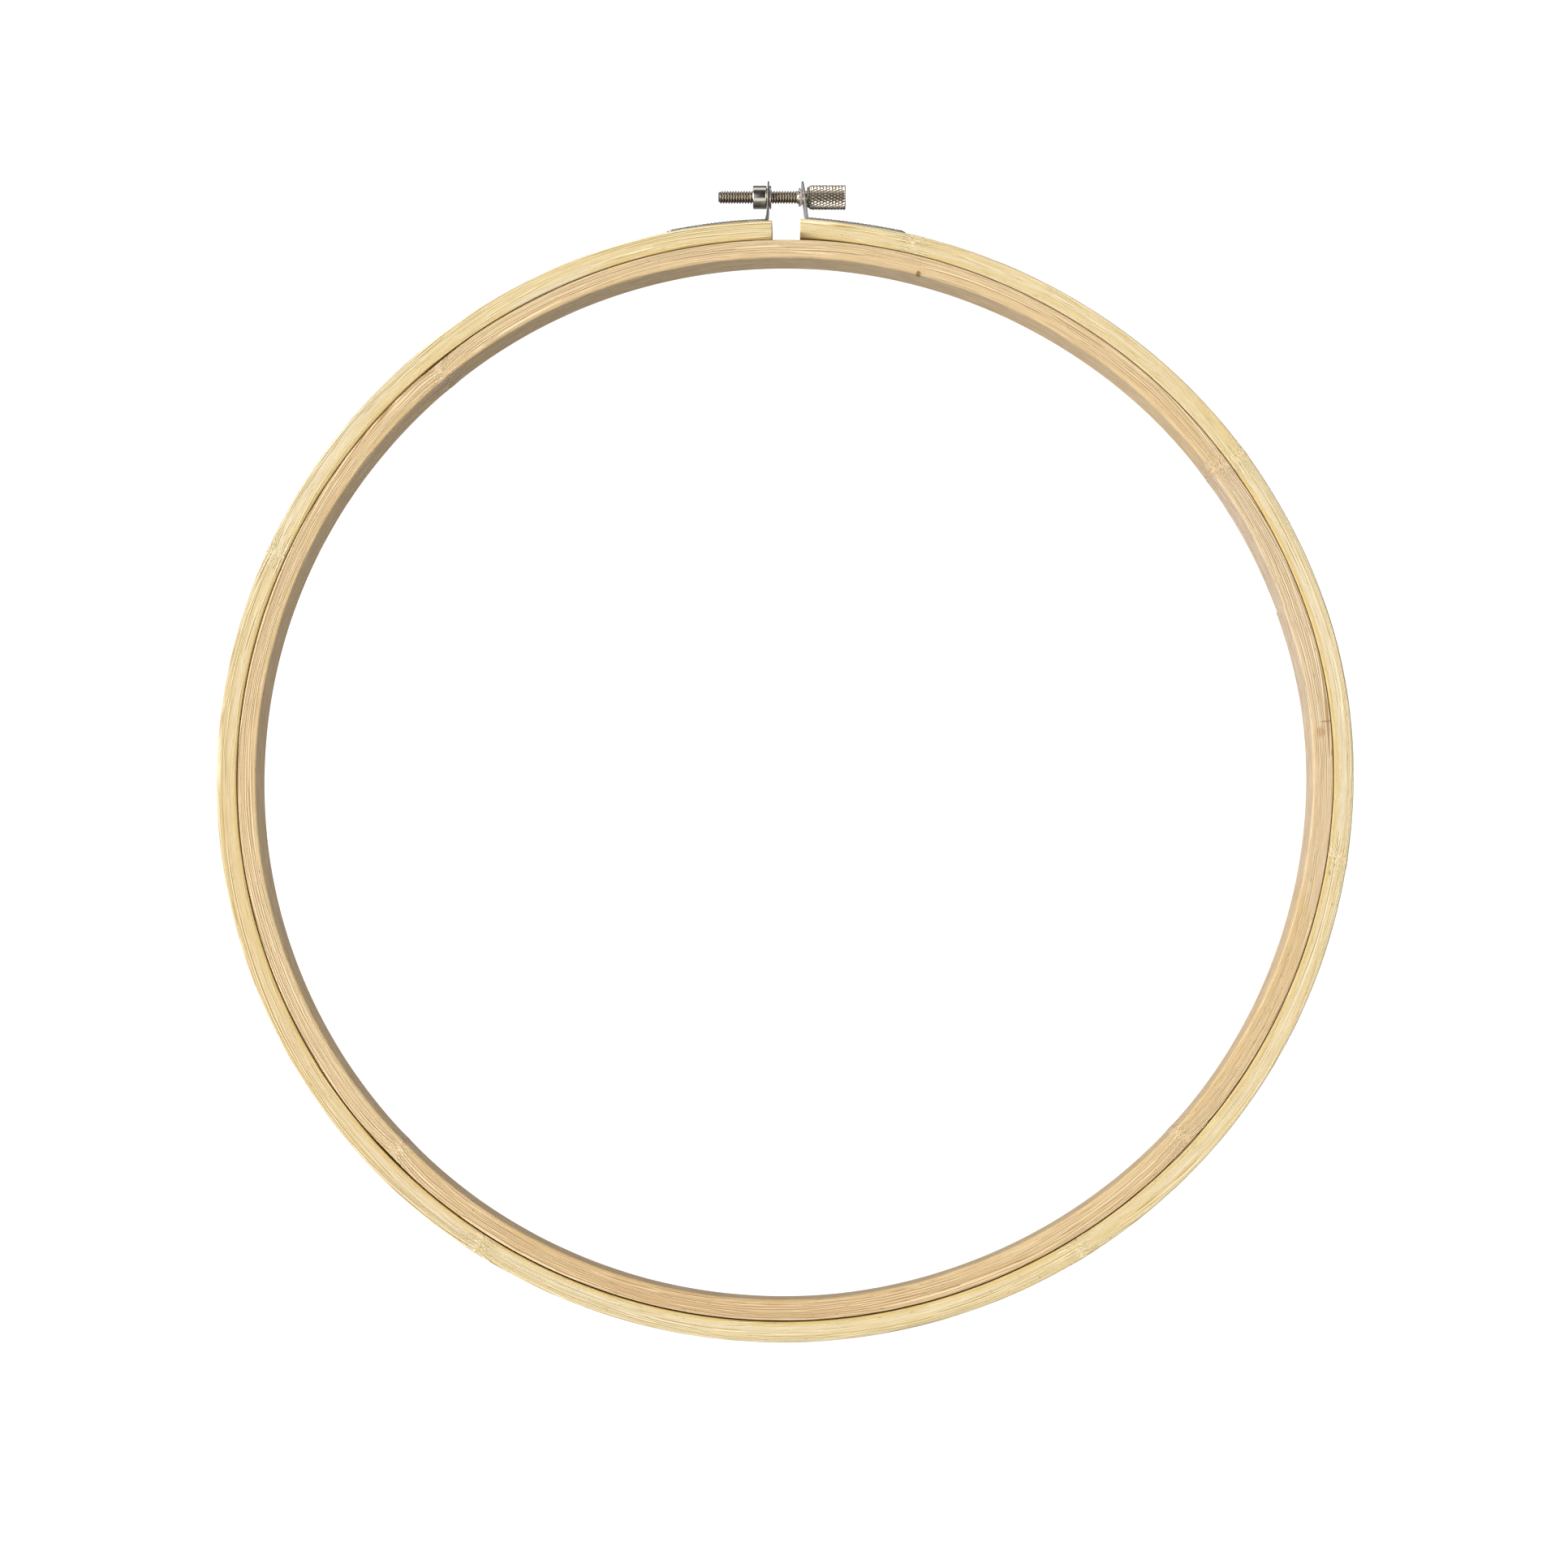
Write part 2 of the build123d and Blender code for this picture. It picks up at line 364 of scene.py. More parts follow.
    def node_marks(self):
        """Light and dark flecks at each node, and a fine seam with no relief."""
        flecks = self.span(self.dash, 0.4, 0.6)
        self.tint(self.times(self.span(self.from_node, 0.3, 2.2, 1.0, 0.0), flecks, 0.6), "glow")
        knot = self.times(self.span(self.from_node, 0.5, 1.8, 1.0, 0.0), self.span(self.dash, 0.54, 0.46))
        self.tint(self.times(knot, self.span(self.across, 0.2, 1.2, 0.85, 0.3)), "knot")
        self.tint(self.span(self.from_node, 0.04, 0.14, 0.35, 0.0), "line")
        self.height = self.times(self.height, self.span(self.from_node, 0.1, 0.5))

    def placed_marks(self):
        """Dark where the mark attribute is positive, and the knots' tan where it is negative."""
        self.tint(self.span(self.mark, 0.1, 1.0, 0.0, 0.9), "fleck")
        self.tint(self.span(self.mark, -0.1, -1.0, 0.0, 0.8), "knot")

    def walls(self, wall_reach):
        """The inside wall, streaked, and the outside wall, each with a tint of its own. Where a wall faces
        the gap between the rings (the outer strip's inside wall, the inner strip's outside wall), its tint is
        painted shade.
        """
        wall = self.span(self.across, 0.0, wall_reach, 1.0, 0.0)
        # On the outer strip this darkening is painted shade in the gap between the rings; on the inner strip
        # it is the wall's own paler tone.
        self.tint(wall, "wall", "MULTIPLY")
        self.tint(self.times(wall, self.span(self.mottle, 0.62, 0.42, 0.0, 0.3)), "line")
        far_wall = self.span(self.across, STRIP_THICKNESS - 0.25, STRIP_THICKNESS, 0.0, 1.0)
        # On the inner strip this is painted shade in the gap between the rings, below the top edge; on the
        # outer strip it is a slight tone of its own.
        self.tint(self.times(far_wall, self.span(self.up, 4.2, 4.75, 1.0, 0.0)), "far_wall", "MULTIPLY")

    def finish(self):
        roughness = self.span(self.fibre, 0.3, 0.7, 0.45, 0.62)
        self.principled.inputs["Specular IOR Level"].default_value = 0.25
        return self.surface(self.colour, roughness, normal=self.bump(self.height, 0.14))


def bamboo(name, tones, skin_start, edge_reach, wall_reach):
    wood = Bamboo(name, tones, skin_start)
    wood.plain_wood(edge_reach)
    wood.fibre_lines()
    wood.node_marks()
    wood.placed_marks()
    wood.walls(wall_reach)
    return wood.finish()


# The colour that the groove attribute darkens towards: painted shade in recesses and on edges, with some
# dirt.
GRIME_AND_SHADE = (0.045, 0.038, 0.03)


def plated_steel(name, colour, roughness, wear_scale, bump=0.01, grime_and_shade=GRIME_AND_SHADE, satin=None):
    """Nickel-plated steel: fine turning lines, cloudy roughness, and a darker colour where the groove
    attribute is high: painted shade in recesses and on edges, with some dirt.
    Where that attribute is negative the plating is a dull satin of its own colour."""
    shader = Shader(name)
    place = shader.stretch(shader.node("ShaderNodeTexCoord").outputs["Object"], (1 / MM, 1 / MM, 1 / MM))
    cloud = shader.noise(place, (wear_scale, wear_scale, wear_scale), detail=4, roughness=0.6)
    scratch = shader.noise(place, (9, 1.2, 1.2), detail=3, roughness=0.6)
    groove = shader.attribute("groove", "Fac")
    worn = tuple(0.8 * channel for channel in colour)
    tone = shader.mix(shader.span(cloud, 0.3, 0.7, 0.0, 0.5), colour, worn)
    # Painted shade with some dirt: darker where the groove attribute is high.
    tone = shader.mix(shader.math("MULTIPLY", groove, 0.85, clamp=True), tone, grime_and_shade)
    cloudy = shader.span(cloud, 0.3, 0.7, roughness, roughness + 0.12)
    rough = shader.math("ADD", cloudy, shader.times(groove, 0.2))
    metallic = 1.0
    if satin:
        dull = shader.span(groove, 0.0, -1.0)
        tone = shader.mix(dull, tone, satin)
        metallic = shader.math("SUBTRACT", 1.0, shader.times(dull, 0.75))
    return shader.surface(tone, rough, metallic=metallic, normal=shader.bump(scratch, bump))


# ---------------------------------------------------------------- mesh building


def new_object(name, vertices, faces):
    mesh = bpy.data.meshes.new(name)
    mesh.from_pydata([tuple(v) for v in np.asarray(vertices) * MM], [], faces)
    mesh.validate()
    mesh.shade_smooth()
    piece = bpy.data.objects.new(name, mesh)
    bpy.context.scene.collection.objects.link(piece)
    return piece


def grid_object(name, points, close_rows=False, caps=False):
    """A surface through a grid of points: rows run along the piece, and columns go round it."""
    rows, columns = points.shape[:2]
    index = np.arange(rows * columns).reshape(rows, columns)
    loop = np.hstack([index, index[:, :1]])
    loop = np.vstack([loop, loop[:1]]) if close_rows else loop
    corners = (loop[:-1, :-1], loop[1:, :-1], loop[1:, 1:], loop[:-1, 1:])
    faces = np.stack(corners, axis=-1).reshape(-1, 4).tolist()
    if caps:
        faces += [index[0].tolist(), index[-1][::-1].tolist()]
    return new_object(name, points.reshape(-1, 3), faces)


def set_attribute(piece, name, values):
    values = np.asarray(values, np.float32)
    kind = "FLOAT_VECTOR" if values.ndim == 2 else "FLOAT"
    attribute = piece.data.attributes.new(name, kind, "POINT")
    attribute.data.foreach_set("vector" if values.ndim == 2 else "value", values.ravel())


def sharpen(piece, degrees):
    """Faces that meet at more than this angle keep a crisp edge between them."""
    piece.data.set_sharp_from_angle(angle=math.radians(degrees))


def finish_piece(piece, body, material, slot, *nodes):
    piece.data.materials.append(material)
    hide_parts(*nodes)
    if body:
        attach(piece, body)
    return piece


# ---------------------------------------------------------------- bamboo rings

WALL_POINTS = 11
FACE_POINTS = 12
CORNER_POINTS = 6


def section(radii):
    """(across, up) points round the strip's section, one row for each set of four corner radii:
    inside front, outside front, outside back, inside back. It starts on the inside wall, going up."""
    half = RING_HEIGHT / 2
    signs = ((-1, 1), (1, 1), (1, -1), (-1, -1))
    rows = []
    for corner, (side, level) in enumerate(signs):
        radius = radii[:, corner, None]
        centre_across = np.where(side < 0, radius, STRIP_THICKNESS - radius)
        centre_up = level * (half - radius)
        start = math.pi - corner * math.pi / 2
        turn = start - np.linspace(0, math.pi / 2, CORNER_POINTS)[None]
        rows.append(
            np.stack([centre_across + radius * np.cos(turn), centre_up + radius * np.sin(turn)], axis=-1)
        )
    pieces = []
    for corner in range(4):
        pieces.append(rows[corner])
        following = rows[(corner + 1) % 4]
        between = FACE_POINTS if corner % 2 == 0 else WALL_POINTS
        share = np.linspace(0, 1, between + 2)[1:-1][None, :, None]
        pieces.append(rows[corner][:, -1:] * (1 - share) + following[:, :1] * share)
    return np.concatenate(pieces, axis=1)


def waves(angle, seed, counts=(2, 3, 5, 9, 17)):
    """A smooth closed wobble round the ring, between about -1 and 1."""
    random = np.random.default_rng(seed)
    total = sum(
        random.uniform(0.5, 1) / math.sqrt(count) * np.sin(count * angle + random.uniform(0, 2 * math.pi))
        for count in counts
    )
    return total / 1.4


def round_the_ring(degrees, centre):
    """How far round the ring degrees lies from centre, between -180 and 180."""
    return (degrees - centre + 180) % 360 - 180


def bow(angle):
    """How far each ring springs from a true circle: slightly oval, with a high spot at the scarf joint
    between two low ones."""
    degrees = np.degrees(angle)

    def spot(centre, width):
        return np.exp(-((round_the_ring(degrees, centre) / width) ** 2))

    oval = 0.4 * np.cos(2 * angle) + 0.1 * np.cos(3 * angle) - 0.15
    return oval + 0.35 * spot(10, 11) - 0.15 * spot(-20, 14) - 0.1 * spot(60, 12)


def seat(angle):
    """How far the line where the two rings meet wanders from its circle, as the strips' thickness varies."""
    return -0.1 - 0.2 * np.cos(angle - math.radians(120))


# How many degrees of the strip spring away at each end
END_SPRING = 11


def lift(angle):
    """How far the strip's end on the screw's side springs off the inner ring, while the other end lies a
    hair closer."""
    from_clamp = np.degrees(angle) % 360 - 90
    right = 0.75 * np.clip(1 + from_clamp / END_SPRING, 0, 1) ** 2 * (from_clamp <= 0)
    left = -0.05 * np.clip(1 - from_clamp / END_SPRING, 0, 1) ** 2 * (from_clamp > 0)
    return right + left


def leaning(angle):
    """How far the outer ring's outside stands out opposite the clamp, where the strip is thicker."""
    return 0.12 * np.cos(angle - math.radians(290))


class Strip:
    """One bamboo strip: where its nodes are, and how its fibres bend on each side of them.
    Each node is (degrees, sharp dip, slow dip before it, slow dip after it), the dips in millimetres."""

    def __init__(self, first_degrees, length, middle, nodes, sharpness, seed):
        self.middle = middle
        self.sharpness = sharpness
        self.length = length
        self.seed = seed
        nodes = sorted((math.radians((n[0] - first_degrees) % 360) * middle, *n[1:]) for n in nodes)
        self.places = np.array([n[0] for n in nodes])
        self.dips = np.array([n[1:] for n in nodes])

    def rows(self, spacing, last, extra=()):
        """Distances along the strip, evenly spaced, with a close pair at each node."""
        even = np.linspace(0, last, int(last / spacing) + 1)
        pairs = np.concatenate([self.places - 0.04, self.places + 0.04, np.array(extra, float)])
        pairs = pairs[(pairs >= 0) & (pairs <= last)]
        return np.unique(np.concatenate([even, pairs]))

    def nearest(self, along):
        """Distance from the nearest node, negative before it."""
        away = along[:, None] - self.places[None]
        away = (away + self.length / 2) % self.length - self.length / 2
        return away[np.arange(len(along)), np.abs(away).argmin(axis=1)]

    def swelling(self, along, height):
        """How far the strip swells at each node, with a small dent just past it."""
        distance = self.nearest(along)
        dent = np.exp(-(((distance - 1.0) / 0.6) ** 2))
        return height * np.exp(-((distance / 2.6) ** 2)) - 0.5 * height * dent

    def dip(self, along):
        """How far the fibres dip towards the inside of the ring, from the node behind and the one ahead."""
        total = np.zeros(len(along))
        for place, (sharp, before, after) in zip(self.places, self.dips):
            away = (along - place + self.length / 2) % self.length - self.length / 2
            distance = np.abs(away)
            slow = np.where(away < 0, before, after) * np.exp(-((distance / 24) ** 1.3))
            total += sharp * np.exp(-distance / self.sharpness) + slow
        return total + 0.3 * waves(along / self.middle, self.seed + 40, (7, 11, 19, 29))

    def fibres(self, along, across, up):
        """The section's coordinates, bent as the fibres bend, with a grain of their own in each internode."""
        distance = self.nearest(along)[:, None]
        internode = (along[:, None] > self.places[None]).sum(axis=1) % len(self.places)
        dip = self.dip(along)[:, None]
        ripple = 0.25 * np.exp(-np.abs(distance) / 4) * np.sin(5 * across + 3 * distance)
        fibre_across = across + dip * (0.35 + 0.65 * across / STRIP_THICKNESS) + ripple
        fibre_up = up + 0.4 * dip * np.sin(up / 2.2 + self.seed)
        return fibre_across, fibre_up + 31.0 * internode[:, None] + 100.0 * self.seed

    def write(self, piece, along, across, up, rich, mark, lap=None):
        """Writes the fibres' own coordinates, and the masks that the wood is coloured by."""
        shape = across.shape
        fibre_across, fibre_up = self.fibres(along, across, up)
        along_grid = np.broadcast_to(along[:, None], shape)
        from_node = np.broadcast_to(np.minimum(np.abs(self.nearest(along)), 40)[:, None], shape)
        strip = np.stack([along_grid, fibre_across, fibre_up], axis=-1)
        set_attribute(piece, "strip", strip.reshape(-1, 3))
        set_attribute(piece, "place", np.stack([along_grid, across, up], axis=-1).reshape(-1, 3))
        set_attribute(piece, "node", from_node.ravel())
        set_attribute(piece, "rich", np.broadcast_to(rich[:, None], shape).ravel())
        set_attribute(piece, "mark", mark.ravel())
        set_attribute(piece, "lap", (np.zeros(shape) if lap is None else lap).ravel())


def ring_points(angle, radius, up):
    return np.stack([radius * np.cos(angle), radius * np.sin(angle), up], axis=-1)


def blot(degrees, across, up, centre, size, lowest=4.0):
    """1 at centre, which is (degrees, across), falling to 0 within size, both along and across the strip."""
    along = np.radians(round_the_ring(degrees, centre[0])) * 150
    away = np.hypot(along / size[0], (across - centre[1]) / size[1])
    return np.clip(1.6 - 1.6 * away, 0, 1) * (up > lowest)


def tanned(degrees, up, centre, spread):
    """1 at centre on the strip's two faces, fading over spread degrees: where the wood is darker."""
    return np.exp(-((round_the_ring(degrees, centre) / spread) ** 2)) * (np.abs(up) > 4.0)


def corner_radii(angle, sizes, seed):
    """Corner radii along the strip, each wandering a little about its size."""
    return np.stack(
        [size * (1 + 0.28 * waves(angle, seed + corner)) for corner, size in enumerate(sizes)], axis=-1
    )


# Nodes, as (degrees, sharp dip, slow dip before, slow dip after)
INNER_NODES = (
    (34.7, 1.8, 0.3, 0.4),
    (131.0, 1.9, 1.3, -1.8),
    (225.4, 1.9, 0.4, 0.5),
    (317.3, 1.8, 0.4, 1.2),
)
OUTER_NODES = (
    (34.5, 0.7, 1.8, 1.9),
    (76.3, 0.5, 2.0, 1.6),
    (157.5, 1.2, 0.3, 1.4),
    (238.3, 1.2, 0.3, 0.6),
    (301.6, 0.9, 0.2, 2.2),
    (350.6, 0.9, 0.6, 2.6),
)

# How rich in lines each strip is, as (degrees, richness)
INNER_RICH = ((0, 0.7), (30, 0.9), (40, 0.6), (75, 0.5), (110, 0.75), (300, 0.75), (345, 0.4))
OUTER_RICH = (
    (91, 0.9),
    (108, 0.85),
    (113, 0.2),
    (119, 0.2),
    (124, 0.9),
    (156, 0.7),
    (160, 0.9),
    (238, 1.0),
    (240, 0.8),
    (301, 0.8),
    (304, 0.45),
    (345, 0.45),
    (355, 0.8),
    (394, 0.8),
    (397, 0.4),
    (430, 0.4),
    (437, 0.7),
    (449, 0.6),
)

# The inner strip's scarf joint and its marks, in degrees. The joint's seam is at the node on the right.
SCARF_START = 346.5
SCARF_SEAM = 394.7
SCARF_WALL_END = 18
BUTT_LINE = 4.8
GLUE_STAIN = 3.7
STAIN_ROWS = 4.0
DARK_KNOT = 75.0
DARK_SPOT = 192.0
# The outer strip's mark
DARK_DOT = 296.8

# Rows of points this far from a small mark's middle, in millimetres, keep its edges sharp
FINE_ROWS = (-0.45, -0.2, 0, 0.2, 0.45)
COARSE_ROWS = (-0.8, -0.4, 0, 0.4, 0.8)


def inner_slack(angle, from_node):
    """How far the inner ring's outside stands back from the line where the two rings meet: most opposite the
    clamp, and at the nodes on the left."""
    slack = -0.06 + 0.03 * np.cos(angle - math.radians(150)) + 0.03 * waves(angle, 5)
    slack = slack + 0.13 * np.exp(-((round_the_ring(np.degrees(angle), 275) / 55) ** 2))
    return slack + 0.22 * np.exp(-((from_node / 7) ** 2)) * (np.cos(angle) < 0)


def inner_lap(angle, across):
    """The planed slope of the scarf joint, 0 on plain wood and 1 just before the joint's seam."""
    degrees = np.degrees(angle)[:, None]
    start = SCARF_START - 4 * across / STRIP_THICKNESS + 0.4 * waves(angle, 7, (31, 47, 83))[:, None]
    lap = np.interp(degrees - start, (0, 1.2, 18, 19.5), (0, 0.6, 0.6, 1.0)) * (degrees < SCARF_SEAM)
    return lap * np.interp(across, (0.6, 2.2), (0.7, 1.0))


def inner_marks(degrees, across, up):
    """The joint's butt line and glue stain, a knot and a spot, and the stretch of darker wood."""
    mark = blot(degrees, across, up, (BUTT_LINE, 4.3), (0.25, 2.6))
    mark = mark + blot(degrees, across, up, (DARK_KNOT, 0.3), (0.9, 1.2), 3.0)
    mark = mark + 0.35 * blot(degrees, across, up, (DARK_KNOT, 3.4), (0.3, 2.4))
    mark = mark + 0.6 * blot(degrees, across, up, (DARK_SPOT, 1.3), (0.7, 0.5))
    mark = mark - 0.7 * blot(degrees, across, up, (GLUE_STAIN, 2.6), (2.4, 2.0))
    return mark - 0.42 * tanned(degrees, up, 262, 42)


def inner_ring(material):
    """The plain ring, one strip closed by a long scarf joint on the right."""
    first = 131.0
    middle = INNER_RING_OUTSIDE - STRIP_THICKNESS / 2
    length = 2 * math.pi * middle
    strip = Strip(first, length, middle, INNER_NODES, 4.0, 1)

    def reach(degrees):
        return math.radians((degrees - first) % 360) * middle

    lap_end = reach(SCARF_WALL_END)
    extra = [0.04, lap_end - 0.5, lap_end]
    extra += [reach(spot) + step for spot in (BUTT_LINE, DARK_KNOT) for step in FINE_ROWS]
    extra += [reach(spot) + step for spot in (STAIN_ROWS, DARK_SPOT) for step in COARSE_ROWS]
    along = strip.rows(0.78, length - 0.08, extra=extra)
    angle = math.radians(first) + along / middle
    outline = section(corner_radii(angle, (0.7, 0.3, 0.6, 0.8), 1))
    across, up = outline[..., 0], outline[..., 1]
    outward = across / STRIP_THICKNESS
    slack = inner_slack(angle, strip.nearest(along))
    wall = 0.12 * waves(angle, 6) - strip.swelling(along, 0.12)
    wall = wall - 0.3 * np.clip(1 - (lap_end - along) / 60, 0, 1) * (along < lap_end)
    radius = INNER_RING_OUTSIDE - STRIP_THICKNESS + across + bow(angle)[:, None]
    radius = radius + (seat(angle) - slack)[:, None] * outward + wall[:, None] * (1 - outward)
    piece = grid_object("inner_ring_bamboo", ring_points(angle[:, None], radius, up), close_rows=True)
    degrees = np.degrees(angle)[:, None] + 0 * across
    rich = np.interp(np.degrees(angle) % 360, *zip(*INNER_RICH))
    strip.write(piece, along, across, up, rich, inner_marks(degrees, across, up), inner_lap(angle, across))
    return finish_piece(piece, "inner_ring", material, "bamboo_inner", "inner_ring")


def outer_marks(degrees, across, up, to_end, share):
    """A dark dot, the worn dark corners at the two ends, which are dirt and painted shade, and the stretch of
    darker wood.
    """
    mark = blot(degrees, across, up, (DARK_DOT, 4.4), (0.35, 0.35))
    # Dirt and painted shade on the worn inside front corner, darkest at the end on the screw's side.
    corner = np.clip(2.1 - across, 0, 1) * np.clip(up - 2.5, 0, 1)
    mark = mark + (0.95 * np.exp(-to_end / 6) * np.where(share < 0.5, 0.4, 1))[:, None] * corner
    return mark - 0.43 * tanned(degrees, up, 205, 52)


def end_bevel(to_end):
    """How much the section shrinks all round within 0.25 mm of the strip's two ends."""
    return 0.15 * (1 - np.sqrt(1 - (1 - np.clip(to_end / 0.25, 0, 1)) ** 2))[:, None]


def outer_ring(material):
    """The split ring, one springy strip whose inside corners are worn at its two ends."""
    middle = OUTER_RING_OUTSIDE - STRIP_THICKNESS / 2
    end_angle = math.asin(END_GAP_HALF / middle)
    length = (2 * math.pi - 2 * end_angle) * middle
    first = math.pi / 2 + end_angle
    strip = Strip(math.degrees(first), length * 1.01, middle, OUTER_NODES, 2.6, 2)
    dot = (math.radians(DARK_DOT) - first) * middle
    ends = [0.1, 0.25, 0.5, dot - 0.3, dot, dot + 0.3, length - 0.5, length - 0.25, length - 0.1]
    along = strip.rows(0.8, length, extra=ends)
    share = along / length
    angle = first + share * (2 * math.pi - 2 * end_angle)
    to_end = np.minimum(along, length - along)
    radii = corner_radii(angle, (0.42, 0.6, 0.8, 0.9), 11)
    radii[:, 0] += np.where(share < 0.5, 1.0 * np.exp(-to_end / 3.5), 1.3 * np.exp(-to_end / 5.0))
    outline = section(radii)
    across, up = outline[..., 0], outline[..., 1]
    bevel = end_bevel(to_end)
    half = STRIP_THICKNESS / 2
    across_seen = half + (across - half) * (1 - bevel / half)
    up_seen = up * (1 - 2 * bevel / RING_HEIGHT)
    outward = across / STRIP_THICKNESS
    radius = OUTER_RING_INSIDE + across_seen + (bow(angle) + lift(angle))[:, None]
    radius = radius + seat(angle)[:, None] * (1 - outward)
    radius = radius + (strip.swelling(along, 0.12) + leaning(angle))[:, None] * outward
    square = (np.arcsin(END_GAP_HALF / radius) - end_angle) * (1 - 2 * share)[:, None]
    points = ring_points(angle[:, None] + square, radius, up_seen)
    piece = grid_object("outer_ring_bamboo", points, caps=True)
    degrees = np.degrees(angle)[:, None] + 0 * across
    rich = np.interp(degrees[:, 0], *zip(*OUTER_RICH))
    strip.write(piece, along, across, up, rich, outer_marks(degrees, across, up, to_end, share))
    sharpen(piece, 50)
    finish_piece(piece, None, material, "bamboo_outer", "outer_ring_nut_half", "outer_ring_screw_half")
    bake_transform(piece)
    return piece


# ---------------------------------------------------------------- metal parts on the screw's line


def turned_piece(name, x, radius, sharp, close=False):
    """A piece turned about the screw's axis. x and radius have a row for each station and a column for each
    side, and a closed piece is a ring."""
    turn = around(radius.shape[1])
    points = np.stack([x, SCREW_Y + radius * np.cos(turn), radius * np.sin(turn)], axis=-1)
    piece = grid_object(name, points, close_rows=close, caps=not close)
    sharpen(piece, sharp)
    return piece


def around(sides):
    return np.linspace(0, 2 * math.pi, sides, endpoint=False)


def ring_of(name, profile, sides):
    """A ring turned about the screw's axis from (x, radius) points."""
    profile = np.asarray(profile, float)
    x, radius = (np.repeat(column[:, None], sides, axis=1) for column in profile.T)
    return turned_piece(name, x, radius, close=True, sharp=60)


def smooth_profile(points, radius, count=4):
    """The (x, radius) points with each corner rounded off."""
    points = [np.array(p, float) for p in points]
    out = []
    for i, corner in enumerate(points):
        before, after = points[i - 1], points[(i + 1) % len(points)]
        back, ahead = before - corner, after - corner
        cut = min(radius, np.linalg.norm(back) / 2.2, np.linalg.norm(ahead) / 2.2)
        a = corner + back / np.linalg.norm(back) * cut
        b = corner + ahead / np.linalg.norm(ahead) * cut
        for t in np.linspace(0, 1, count):
            out.append((1 - t) ** 2 * a + 2 * t * (1 - t) * corner + t**2 * b)
    return out


THREAD_PITCH = 0.79375
THREAD_RADIUS = 1.82
THREAD_DEPTH = 0.48
NUT_BORE = 2.02

# Stations along the screw
THREAD_END = 3.4
NECK_END = 4.9
HEAD_START = 5.95
HEAD_END = screw_high.x

HEAD_RADIUS = (screw_high.y - screw_low.y) / 2
HEAD_FACE_RADIUS = 2.7
HEAD_CHAMFER = 1.1
HEAD_BEVEL = 0.35
KNURL_LINES = 24
KNURL_PITCH = 1.8
KNURL_DEPTH = 0.33
KNURL_FLAT = 0.14
SCREW_SIDES = 384


def barrel_nut(material):
    """The barrel, a groove that the ear sits in, and the rim swaged over behind it."""
    neck = 2.45
    ear_left, ear_right = nut_high.x - 1.35, nut_high.x - 0.5
    radius = (nut_high.y - nut_low.y) / 2
    left = [(nut_low.x, NUT_BORE), (nut_low.x, radius), (ear_left, radius), (ear_left, neck)]
    right = [(ear_right, neck), (ear_right, radius), (nut_high.x, radius), (nut_high.x, NUT_BORE)]
    piece = ring_of("barrel_nut_plated", smooth_profile(left + right, 0.22), sides=128)
    return finish_piece(piece, "outer_ring_nut_side", material, "nut_steel", "barrel_nut")


def thread(x, turn):
    """Radius of the helical thread, with its chamfered tip and its run-out at the neck."""
    phase = (x / THREAD_PITCH - turn / (2 * math.pi)) % 1
    crest = np.clip(np.abs(phase - 0.5) * 3.0 - 0.36, 0, 1)
    radius = THREAD_RADIUS - THREAD_DEPTH * crest
    tip_limit = 1.2 + (x - screw_low.x) * 0.9
    run_out = np.clip((THREAD_END - x) / 0.8, 0, 1)
    return np.minimum(radius * run_out + THREAD_RADIUS * (1 - run_out), tip_limit)


def knurl(x, turn):
    """How deep the diamond knurl is, from 0 on its points to 1 in its two crossing sets of grooves."""
    slant = (x - HEAD_START) / KNURL_PITCH
    depths = []
    for phase in (turn / (2 * math.pi) * KNURL_LINES + slant, turn / (2 * math.pi) * KNURL_LINES - slant):
        ridge = np.abs(phase % 1 - 0.5) * 2
        depths.append(np.clip((ridge - KNURL_FLAT) / (1 - KNURL_FLAT), 0, 1))
    return np.maximum(*depths)


def head_outline(x):
    """Radius of the head before knurling: a chamfer towards the ear and a small round bevel at the end."""
    chamfer = HEAD_FACE_RADIUS + (x - HEAD_START) * (HEAD_RADIUS - HEAD_FACE_RADIUS) / HEAD_CHAMFER
    into_bevel = np.clip(x - HEAD_END + HEAD_BEVEL, 0, 1)
    bevel = HEAD_RADIUS - HEAD_BEVEL + np.sqrt(np.clip(HEAD_BEVEL**2 - into_bevel**2, 0, 1))
    bevel = np.where(x > HEAD_END - HEAD_BEVEL, bevel, HEAD_RADIUS)
    return np.minimum(chamfer, bevel)


